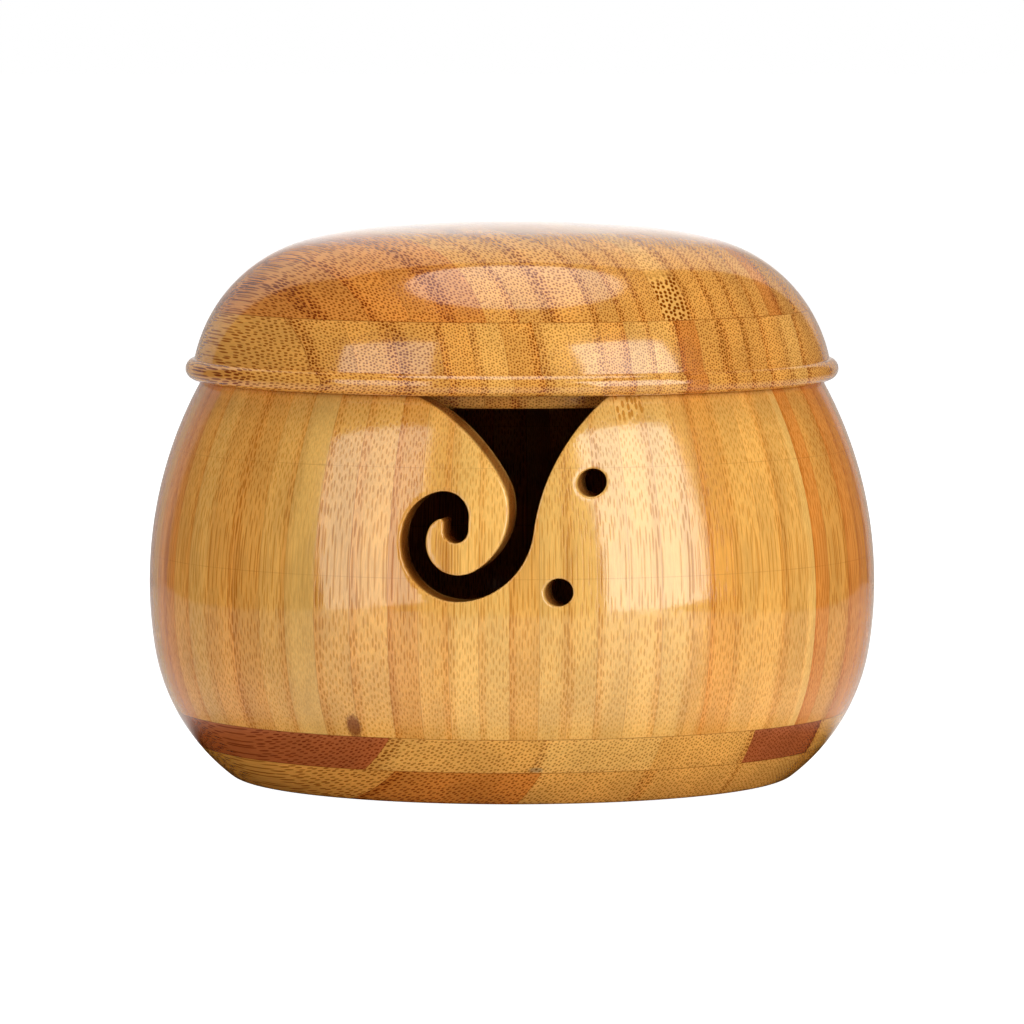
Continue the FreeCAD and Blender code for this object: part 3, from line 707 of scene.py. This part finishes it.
    # the lacquer sinks a little over the bundles and the seams, and shines less over the bundles
    lift = n.scaled(fine, 0.5, n.times(n.maths("MAXIMUM", mask, glue), -0.8))
    bump = n.add("ShaderNodeBump", named={"Strength": 0.25, "Distance": 0.00004, "Height": lift}).outputs[0]
    facing = n.add("ShaderNodeLayerWeight").outputs["Facing"]
    dulled = n.times(mask, n.between(facing, 0.55, 0.85, DULLED, 0.0))
    n.surface(Base_Color=colour, Roughness=n.between(mask, 0.0, 1.0, 0.42, 0.52, False),
              Specular_IOR_Level=0.0, Coat_Weight=n.minus(1.0, dulled), Coat_IOR=COAT_IOR,
              Coat_Roughness=colours().lacquer_roughness, Normal=bump, Coat_Normal=bump)
    return material


def tones(letters):
    """Tones for a row of strips, a letter each, named after the first letters of the colours.

    The fourth number says how deep the colour of the strip's bundles is."""
    look = colours()
    table = {"p": (*look.pale, 0.35), "y": (*look.yellow, 0.8), "g": (*look.golden, 0.85),
             "a": (*look.amber, 0.95), "w": (*look.warm, 1.0), "o": (*look.orange, 0.95),
             "r": (*look.red, 0.9), "b": (*look.brown, 0.9)}
    return [table[letter] for letter in letters]


# ---------------------------------------------------------------- pieces

BOARDS = {
    # board: the tone of each strip and the number of the first
    "bottom": ("aogggaa", 100),
    "base": ("bgygrga", 200),
}
BOARD_STRIPS = 7
WALL_BLOCKS = (
    # node, first azimuth, last azimuth, measured seams, tones
    ("wall_block_front_right", 31.8, 91.08, (36.5, 42.1, 47.1, 52.4, 54.8, 58.7, 65.9), "agggywawwwaw"),
    ("wall_block_rear_right", 91.08, 150.36, (), "gagpggaggagg"),
    ("wall_block_rear", 150.36, 209.64, (), "ggagpgaggapg"),
    ("wall_block_rear_left", 209.64, 268.92, (), "gpgagggagpga"),
    ("wall_block_front_left", 268.92, 328.2, (299.2, 305.3, 311.5, 317.5, 322.7), "wwawwagaagpg"),
)
FRONT_SEAMS = (-25.6, -19.2, -14.4, -9.7, -5.1, -0.4, 4.2, 8.6, 13.1, 18.1, 23.5, 28.8)
FRONT_TONES = "ggagyygyyyyyg"
FRONT_LARGE = (310, 78.0, 95.0)  # the strip of large bundles, and their lowest and highest level
WALL_PITCH = 5.4  # degrees
WALL_STRIP, FRONT_STRIP = 6.6, 6.2  # usual widths in mm
YARN_HOLES = ((29.8, 16.8), (24.4, 38.2))  # sideways in the cut's view, and down from the rim
LID_BOARDS = (
    # node, measured seams, tones, number of the first strip, a strip of large bundles with their heights
    ("lid_lower_board", (-59.8, -54.3, -48.5, -41.9, -36.8, -31.3, -25.4, -19.3, -12.9, -7.5, -2.0, 3.8,
                         8.9, 15.4, 20.6, 26.3), "aaaaagaggaggoaaaagaaaa", 500, None),
    ("lid_upper_board", (-50.7, -44.9, -33.1, -21.3, -8.0, 1.8, 8.4, 13.8, 19.6, 25.7, 30.7, 35.3),
     "wowwwwaaaaaagaaaawaaaa", 600, (612, 80.0, 106.0)),
)
LID_REACH, LID_PITCH, LID_DRIFT = 68.0, 5.8, -0.12  # outermost seams and strip width in mm, drift per mm

# the fibre bundles: spacing across a strip and through it and radius, in mm, and colour times the strip's
BOARD_BUNDLES, BOARD_INK = (0.63, 0.72, 0.180), (0.27, 0.13, 0.03)
WALL_BUNDLES, WALL_INK = (0.60, 0.56, 0.14), (0.65, 0.48, 0.26)
LID_BUNDLES, LID_INK = (0.52, 0.61, 0.155), (0.27, 0.105, 0.012)
WALL_RINGS = ((46.7, 0.3), (68.4, 0.3))  # height in mm and depth of the turning lines
FRONT_MARKS = (((-31.5, -63.4, 16.4), (2.0, 2.0, 3.9), (0.36, 0.22, 0.12)),)  # a small knot
BOARD_MARKS = (((4.8, -65.5, 7.9), (1.7, 1.7, 0.7), (0.55, 0.62, 0.95)),)  # filler
BUNDLE_EDGE = 0.035  # in mm, half of a bundle's soft edge, and what the skin side adds to its radius
SKIN_SIDE = (0.8, 1.9)  # mm from a strip's skin side between which its larger bundles end
GLUE_WIDTH, JOINT_WIDTH = (0.02, 0.12), (0.03, 0.16)  # where a glue line and a level line end, in mm
# the last of these tints is painted shade on the sawn faces
WARM_TINT, GLUE_TINT, SAWN_SHADE_TINT = (0.87, 0.68, 0.48), (0.32, 0.16, 0.09), (0.50, 0.35, 0.25)
COAT_IOR, DULLED = 1.58, 0.4  # the lacquer, and how much of it the bundles take away


def random_for(name):
    """A random source of a piece's own, the same on each run."""
    return np.random.default_rng(SEED + sum(ord(letter) for letter in name))


def board_sizes(board):
    """Lowest and highest level of a board, and the width of its strips."""
    s = sizes()
    if board == "bottom":
        return 0.0, s.bottom_board, s.bottom_strip
    return s.bottom_board, s.bottom_board + s.base_board, s.base_strip


def board_strip(board, number):
    """One strip of a board. Its ends are cut by the turned outline and its sides are flat.

    A level cut is a loop: across offset r sin b and along r cos b for b between the two seams, then
    the same back along the far end. The loops are stacked up the outline and capped."""
    s = sizes()
    low, high, width = board_sizes(board)
    path = foot_path(low, high, s.step)
    radius, height = path[:, 0, None], path[:, 1, None]
    near = -s.bowl_diameter if number == 1 else (number - 1 - BOARD_STRIPS / 2) * width
    far = s.bowl_diameter if number == BOARD_STRIPS else (number - BOARD_STRIPS / 2) * width
    first = np.arcsin(np.clip(near / radius, -1.0, 1.0))
    last = np.arcsin(np.clip(far / radius, -1.0, 1.0))
    half = 40  # points along each end of a loop
    turn = first + (last - first) * np.linspace(0.0, 1.0, half)
    offset, along = radius * np.sin(turn), radius * np.cos(turn)
    offset = np.concatenate((offset, offset[:, ::-1]), axis=1)
    along = np.concatenate((along, -along[:, ::-1]), axis=1)
    angle = math.radians(s.board_angle)
    x = offset * math.cos(angle) - along * math.sin(angle)
    y = offset * math.sin(angle) + along * math.cos(angle)
    points = np.stack((x, y, np.broadcast_to(height, x.shape)), axis=-1)
    shell = Shell()
    shell.grid(points, closed=True)
    for row in (points[0], points[-1]):
        shell.grid(np.stack((row[:half], row[:half - 1:-1]), axis=0))
    return shell


def wall_block(first, last):
    """A plain block of the wall: its section swept between two azimuths, with flat sides and foot."""
    s = sizes()
    path = wall_path(s.step)
    azimuth = np.linspace(first, last, math.ceil((last - first) / COLUMN_TURN) + 1)
    skin = on_circle(path[:, 0, None], azimuth[None, :], path[:, 1, None])
    shell = Shell()
    shell.grid(skin)
    close_block(shell, skin)
    return shell


def close_block(shell, skin):
    """Sides and foot of a wall block whose skin runs over the rim: each point joins its opposite."""
    half = (skin.shape[0] + 1) // 2
    for side in (skin[:, 0], skin[:, -1]):
        shell.grid(np.stack((side[:half], side[::-1][:half]), axis=0))
    shell.grid(np.stack((skin[0], skin[-1]), axis=0))


def front_block(first, last):
    """The block with the notch and the yarn holes.

    The skin is laid out flat, azimuth by distance along the section, with the notch as one opening
    over the rim, and the notch's wall is laid out flat, distance along the notch by depth. Both are
    filled with triangles and rolled back up. A softened lip joins them."""
    s = sizes()
    shell = Shell()
    path = wall_path(s.step)
    dense = wall_path(0.02)
    run = distances(dense)
    top = np.flatnonzero(dense[:, 1] > s.bowl_height - 1e-9)
    up, down = slice(0, top[0] + 1), slice(top[-1], None)
    flat = 66.0  # mm of layout for each radian of azimuth
    wall_step, rim_steps, round_steps, hole_columns, hole_rows = 0.8, 8, 6, 48, 8
    farthest, nearest_to_viewer = 40.0, 76.0  # reach of the notch's wall in the cut's own view
    cut = math.radians(s.cut_angle)

    def at_height(height, leg, values):
        """The values along the section, read at a height on its way up outside or down inside."""
        order = slice(None) if leg is up else slice(None, None, -1)
        return np.interp(height, dense[leg, 1][order], values[leg][order])

    def in_space(side, height, depth):
        """From the cut's own view: sideways, height and distance towards the viewer."""
        return np.stack((side * math.cos(cut) - depth * math.sin(cut),
                         -side * math.sin(cut) - depth * math.cos(cut), height), axis=-1)

    def rolled(layout):
        """From the flat layout of the skin to space."""
        return on_circle(np.interp(layout[..., 1], run, dense[:, 0]), np.degrees(layout[..., 0] / flat),
                         np.interp(layout[..., 1], run, dense[:, 1]))

    def laid(side, radius, distance):
        """Points of the skin that lie so far sideways in the cut's view, in the flat layout."""
        return np.stack(((np.arcsin(side / radius) - cut) * flat, distance), axis=1)

    # the notch's path, ended at the rim, with points where the rim's rounds are
    notch = notch_path(0.5)
    length = distances(notch)
    rise = np.sin(np.linspace(0.0, math.pi / 2, round_steps + 1))
    round_heights = s.bowl_height - s.rim_round + s.rim_round * rise
    low_part = np.flatnonzero(notch[:, 1] < s.bowl_height - s.rim_round - 0.15)
    first_low, last_low = low_part[0], low_part[-1]
    lead = np.interp(-round_heights, -notch[:first_low + 1, 1], length[:first_low + 1])[::-1]
    tail = np.interp(round_heights, notch[last_low:, 1], length[last_low:])
    stops = np.concatenate((lead, length[first_low:last_low + 1], tail))
    side, height = np.interp(stops, length, notch[:, 0]), np.interp(stops, length, notch[:, 1])
    height[[0, -1]] = s.bowl_height
    rim_share = np.linspace(0.0, 1.0, rim_steps + 1)[1:-1]

    def all_round(outside, inside):
        """Along the notch outside, over the flat rim, back inside and over the rim again."""
        return np.concatenate((outside, outside[-1] + (inside[-1] - outside[-1]) * rim_share,
                               inside[::-1], inside[0] + (outside[0] - inside[0]) * rim_share))

    loop_side, loop_height, loop_stop = (all_round(values, values) for values in (side, height, stops))
    loop_radius, loop_run = (all_round(at_height(height, up, values), at_height(height, down, values))
                             for values in (dense[:, 0], run))
    loop_depth = np.sqrt(loop_radius ** 2 - loop_side ** 2)
    skin_loop = laid(loop_side, loop_radius, loop_run)
    wall_loop = np.stack((loop_stop, loop_depth), axis=1)
    skin_edge = moved_out(skin_loop, s.lip)
    wall_edge = moved_out(wall_loop, -s.lip)
    corner = in_space(loop_side, loop_height, loop_depth)

    def on_notch_wall(layout):
        """From the flat layout of the notch's wall to space."""
        return in_space(np.interp(layout[:, 0], length, notch[:, 0]),
                        np.interp(layout[:, 0], length, notch[:, 1]), layout[:, 1])

    shell.grid(lip(corner, rolled(skin_edge), on_notch_wall(wall_edge)), closed=True)
    inner = lattice(np.arange(stops[0], stops[-1], wall_step), np.arange(farthest, nearest_to_viewer, 1.0))
    layout, triangles = filled(wall_edge, [], inner.reshape(-1, 2), wall_step)
    shell.add(on_notch_wall(layout), triangles)

    # the yarn holes
    hole_edges = []
    around = np.linspace(0.0, 2 * math.pi, hole_columns + 1)[:-1]
    for hole_side, drop in YARN_HOLES:
        side = hole_side + s.hole_radius * np.cos(around)
        height = s.bowl_height - drop + s.hole_radius * np.sin(around)
        ends = []
        for leg, inwards in ((up, -1.0), (down, 1.0)):
            radius = at_height(height, leg, dense[:, 0])
            depth = np.sqrt(radius ** 2 - side ** 2)
            edge = moved_out(laid(side, radius, at_height(height, leg, run)), s.lip)
            end = in_space(side, height, depth + inwards * s.lip)
            shell.grid(lip(in_space(side, height, depth), rolled(edge), end), closed=True)
            hole_edges.append(edge)
            ends.append(end)
        level = np.linspace(0.0, 1.0, hole_rows + 1)[:, None, None]
        shell.grid(ends[0] * (1.0 - level) + ends[1] * level, closed=True)

    # the skin
    rows = distances(path)
    rows *= run[-1] / rows[-1]
    columns = np.radians(np.linspace(first, last, math.ceil((last - first) / COLUMN_TURN) + 1)) * flat
    skin = lattice(columns, rows)
    border = np.vstack((skin[:-1, 0], skin[-1, :-1], skin[:0:-1, -1], skin[0, :0:-1]))
    inner = skin[1:-1, 1:-1].transpose(1, 0, 2).reshape(-1, 2)
    layout, triangles = filled(border, [skin_edge] + hole_edges, inner, 0.35)
    shell.add(rolled(layout), triangles)
    close_block(shell, rolled(skin).transpose(1, 0, 2))
    return shell


def sawn_shade_depth(points):
    """0 on the wall's skins and rim, rising to 1 a little way under them: the share of painted shade on a
    sawn face.
    """
    s = sizes()
    skin, rise = 0.4, 1.5
    path = wall_path(0.1)
    top = np.argmax(path[:, 1] > s.bowl_height - 1e-9)
    radius, height = np.hypot(points[:, 0], points[:, 1]), points[:, 2]
    outer = np.interp(height, path[:top + 1, 1], path[:top + 1, 0])
    inner = np.interp(height, path[:top:-1, 1], path[:top:-1, 0])
    under = np.minimum(np.minimum(outer - radius, radius - inner), s.bowl_height - height)
    return np.clip((under - skin) / rise, 0.0, 1.0)


def lid_board(which):
    """A board of the lid: its closed section carried once round the axis."""
    s = sizes()
    path = lid_paths(s.step)[which]
    azimuth = np.linspace(0.0, 360.0, LID_COLUMNS + 1)[:-1]
    if which == 0:
        path = np.vstack((path, path[:1]))
    shell = Shell()
    shell.grid(on_circle(path[:, 0, None], azimuth[None, :], path[:, 1, None] + s.bowl_height), closed=True)
    return shell


class YARNBOWL_OT_boards(bpy.types.Operator):
    """Make the strips of the bottom board and of the base board"""

    bl_idname = "yarnbowl.boards"
    bl_label = "Bottom and base boards"

    def execute(self, context):
        s = sizes()
        for board, (letters, base) in BOARDS.items():
            width = board_sizes(board)[2]
            seams = (np.arange(BOARD_STRIPS + 1) - BOARD_STRIPS / 2) * width
            seams[[0, -1]] = -s.bowl_diameter / 2, s.bowl_diameter / 2
            grain = flat_grain(seams, s.board_angle, base)
            joints = ((s.bottom_board, 1.0), (s.bottom_board + s.base_board, 1.0))
            material = bamboo(board + "_board_bamboo", tones(letters), base, width, BOARD_BUNDLES, BOARD_INK,
                              joints=joints, marks=BOARD_MARKS)
            for number, letter in enumerate(letters, start=1):
                node = "%s_strip_%d" % (board, number)
                finish_piece(node, board_strip(board, number), grain, material, "bowl")
        return {"FINISHED"}


class YARNBOWL_OT_wall(bpy.types.Operator):
    """Make the plain blocks of the wall"""

    bl_idname = "yarnbowl.wall"
    bl_label = "Wall blocks"

    def execute(self, context):
        board_top = sizes().bottom_board + sizes().base_board
        for index, (node, first, last, listed, letters) in enumerate(WALL_BLOCKS):
            base = 320 + 20 * index
            seams = seams_in(first, last, WALL_PITCH, listed, random_for(node))
            grain = upright_grain(seams, (first + last) / 2, base)
            strips = (letters * 2)[:len(seams) - 1]
            material = bamboo(node + "_bamboo", tones(strips), base, WALL_STRIP, WALL_BUNDLES, WALL_INK,
                              joints=((board_top, 1.0), *WALL_RINGS))
            finish_piece(node, wall_block(first, last), grain, material, "bowl")
        return {"FINISHED"}


class YARNBOWL_OT_front(bpy.types.Operator):
    """Make the front block with the yarn notch and the yarn holes"""

    bl_idname = "yarnbowl.front"
    bl_label = "Front block"

    def execute(self, context):
        node, first, last, base = "wall_block_front", -31.8, 31.8, 300
        seams = np.array((first, *FRONT_SEAMS, last))
        grain = upright_grain(seams, 0.0, base)
        board_top = sizes().bottom_board + sizes().base_board
        material = bamboo(node + "_bamboo", tones(FRONT_TONES), base, FRONT_STRIP, WALL_BUNDLES, WALL_INK,
                          coarse=FRONT_LARGE, joints=((board_top, 1.0), *WALL_RINGS), marks=FRONT_MARKS)
        finish_piece(node, front_block(first, last), grain, material, "bowl", sawn_shade_depth)
        return {"FINISHED"}


class YARNBOWL_OT_lid(bpy.types.Operator):
    """Make the two boards of the lid"""

    bl_idname = "yarnbowl.lid"
    bl_label = "Lid"

    def execute(self, context):
        s = sizes()
        for which, (node, listed, letters, base, coarse) in enumerate(LID_BOARDS):
            seams = seams_in(-LID_REACH, LID_REACH, LID_PITCH, listed, random_for(node))
            strips = (letters * 2)[:len(seams) - 1]
            material = bamboo(node + "_bamboo", tones(strips), base, LID_PITCH, LID_BUNDLES, LID_INK,
                              LID_DRIFT, coarse, ((s.bowl_height + s.lid_seam, 1.0),))
            grain = flat_grain(seams, s.lid_board_angle, base)
            finish_piece(node, lid_board(which), grain, material, "lid")
        return {"FINISHED"}


# ---------------------------------------------------------------- stage

def plain(name, colour, roughness, glow, gloss=0.0):
    """An even surface that may give off a little light, as a sheet lit from all round does."""
    material = bpy.data.materials.new(name)
    Nodes(material).surface(Base_Color=rgba(colour), Roughness=roughness, Specular_IOR_Level=gloss,
                            Emission_Color=WHITE, Emission_Strength=glow)
    return material


def table_with_painted_shadow():
    """White gloss that mirrors as black under the bowl, in a painted shadow, and darker to the sides in
    painted shade.

    The painted shadow's edge and the painted darker sides are given in metres from the axis."""
    shadow, sides = (0.074, 0.092), (0.06, 0.18)
    material = plain("white_table", (0.88, 0.88, 0.88), 0.3, 0.0, 0.5)
    n = Nodes(material, clear=False)
    here = n.add("ShaderNodeTexCoord").outputs["Object"]
    # painted shadow in what the lacquer mirrors: black near the axis and darker to the sides; diffuse rays
    # still see the table evenly lit
    light = n.between(n.lines("LENGTH", here), *shadow)
    light = n.times(light, n.between(n.maths("ABSOLUTE", n.parts(here)[0]), *sides, 1.0, 0.7))
    lit = n.times(n.add("ShaderNodeLightPath").outputs["Is Diffuse Ray"], 0.94)
    light = n.maths("MAXIMUM", n.times(light, 0.88), lit)
    shader = n.tree.nodes["Principled BSDF"]
    n.put(shader.inputs["Base Color"], light)
    n.put(shader.inputs["Specular IOR Level"], n.times(light, 0.57))
    return material


def card_with_painted_glow():
    """Grey card, cream higher up, with a painted glow behind the bowl, near its foot."""
    grey, cream = (0.42, 0.42, 0.42), (0.92, 0.80, 0.64)
    material = plain("grey_card", grey, 0.9, 0.0)
    n = Nodes(material, clear=False)
    sideways, _, height = n.parts(n.add("ShaderNodeTexCoord").outputs["Object"])
    # painted light: the card glows behind the bowl, near its foot, where no lamp is
    glow = n.times(n.between(height, 0.10, 0.36, 0.75, 0.0),
                   n.between(n.maths("ABSOLUTE", sideways), 0.05, 0.13, 1.0, 0.0))
    shader = n.tree.nodes["Principled BSDF"]
    n.put(shader.inputs["Base Color"], n.blend(n.between(height, 0.22, 0.42), rgba(grey), rgba(cream)))
    n.put(shader.inputs["Emission Strength"], glow)
    return material


def sheet(name, corners, material):
    """A flat four-cornered sheet, corners in metres."""
    mesh = bpy.data.meshes.new(name)
    mesh.from_pydata(corners, [], [(0, 1, 2, 3)])
    mesh.materials.append(material)
    thing = bpy.data.objects.new(name, mesh)
    bpy.context.scene.collection.objects.link(thing)
    return thing


def soft_light(name, shape, size, power, place, facing, up):
    """An area light at a place in metres, with the direction it faces and the one its upper edge is in."""
    light = bpy.data.lights.new(name, "AREA")
    light.shape = shape
    light.size, light.size_y = size
    light.energy = power
    backwards = -Vector(facing).normalized()
    sideways = Vector(up).cross(backwards).normalized()
    upwards = backwards.cross(sideways)
    thing = bpy.data.objects.new(name, light)
    turned = Matrix((sideways, upwards, backwards)).transposed().to_4x4()
    thing.matrix_world = Matrix.Translation(place) @ turned
    bpy.context.scene.collection.objects.link(thing)
    return thing


def level_sheet(left, right, near, far, height):
    """Corners of a level rectangle, facing up."""
    return [(left, near, height), (right, near, height), (right, far, height), (left, far, height)]


class YARNBOWL_OT_stage(bpy.types.Operator):
    """Make the pale floor, the lights and the camera"""

    bl_idname = "yarnbowl.stage"
    bl_label = "Stage"

    def execute(self, context):
        # the floor is what the camera sees; the lacquer mirrors the table and the card behind the bowl
        floor_wide = 8.0
        floor = sheet("floor", level_sheet(-floor_wide, floor_wide, -floor_wide, floor_wide, -0.0005),
                      plain("pale_floor", (0.6, 0.6, 0.6), 0.9, 1.0))
        floor.visible_glossy = False
        floor.visible_diffuse = False
        table = sheet("table", level_sheet(-0.41, 0.37, -0.44, 0.45, -0.0001), table_with_painted_shadow())
        behind, top = 0.45, 0.90
        card = sheet("backdrop", [(-0.46, behind, 0.0), (0.27, behind, 0.0), (0.33, behind, top),
                                  (-0.46, behind, top)], card_with_painted_glow())
        for mirrored in (table, card):
            mirrored.visible_camera = False
            mirrored.visible_shadow = False

        world = bpy.data.worlds.new("studio")
        context.scene.world = world
        n = Nodes(world)
        around = n.add("ShaderNodeBackground", WHITE, 0.06)
        seen = n.add("ShaderNodeBackground", WHITE, 1.0)
        by_camera = n.add("ShaderNodeLightPath").outputs["Is Camera Ray"]
        both = n.add("ShaderNodeMixShader", by_camera, around.outputs[0], seen.outputs[0])
        n.add("ShaderNodeOutputWorld", both.outputs[0])

        soft_light("softbox_left", "RECTANGLE", (0.60, 0.80), 4.25, (-0.68, -0.62, 0.35),
                   (0.528, 0.800, -0.258), (0.045, 0.280, 0.959))
        soft_light("softbox_right", "RECTANGLE", (0.66, 0.90), 9.4, (0.70, -0.676, 0.40),
                   (-0.479, 0.861, -0.152), (-0.151, 0.090, 0.985))
        down, rearwards = (0.0, 0.0, -1.0), (0.0, 1.0, 0.0)
        soft_light("softbox_top", "DISK", (0.85, 0.85), 5.0, (0.015, 0.045, 1.10), down, rearwards)
        fill = soft_light("fill_top", "DISK", (0.85, 0.85), 1.9, (0.0, 0.10, 1.30), down, rearwards)
        fill.visible_glossy = False

        focal_pixels, frame_pixels, tilt_down = 7750.0, 1024.0, 4.27
        camera_data = bpy.data.cameras.new("camera")
        camera_data.sensor_width = 36.0
        camera_data.lens = focal_pixels / frame_pixels * camera_data.sensor_width
        camera_data.clip_end = 50.0
        camera = bpy.data.objects.new("camera", camera_data)
        camera.location = (0.0, -1.6, 0.174)
        camera.rotation_euler = (math.radians(90.0 - tilt_down), 0.0, 0.0)
        context.scene.collection.objects.link(camera)
        context.scene.camera = camera
        context.scene.view_settings.view_transform = "Standard"
        return {"FINISHED"}


class YARNBOWL_PT_panel(bpy.types.Panel):
    """Lists the yarn bowl's pieces and sizes"""

    bl_idname = "YARNBOWL_PT_panel"
    bl_label = "Yarn bowl"
    bl_space_type = "VIEW_3D"
    bl_region_type = "UI"
    bl_category = "Yarn bowl"

    def draw(self, context):
        for operator in OPERATORS:
            self.layout.operator(operator.bl_idname)
        for group in (context.scene.yarn_bowl_sizes, context.scene.bamboo_colours):
            for name in group.bl_rna.properties.keys():
                if name not in ("rna_type", "name"):
                    self.layout.prop(group, name)


OPERATORS = (YARNBOWL_OT_boards, YARNBOWL_OT_wall, YARNBOWL_OT_front, YARNBOWL_OT_lid, YARNBOWL_OT_stage)
CLASSES = (YarnBowlSizes, BambooColours, *OPERATORS, YARNBOWL_PT_panel)


def register():
    for item in CLASSES:
        bpy.utils.register_class(item)
    bpy.types.Scene.yarn_bowl_sizes = bpy.props.PointerProperty(type=YarnBowlSizes)
    bpy.types.Scene.bamboo_colours = bpy.props.PointerProperty(type=BambooColours)


def unregister():
    del bpy.types.Scene.bamboo_colours
    del bpy.types.Scene.yarn_bowl_sizes
    for item in reversed(CLASSES):
        bpy.utils.unregister_class(item)


def main():
    register()
    bpy.ops.yarnbowl.boards()
    bpy.ops.yarnbowl.wall()
    bpy.ops.yarnbowl.front()
    bpy.ops.yarnbowl.lid()
    bpy.ops.yarnbowl.stage()


if __name__ == "__main__":
    main()
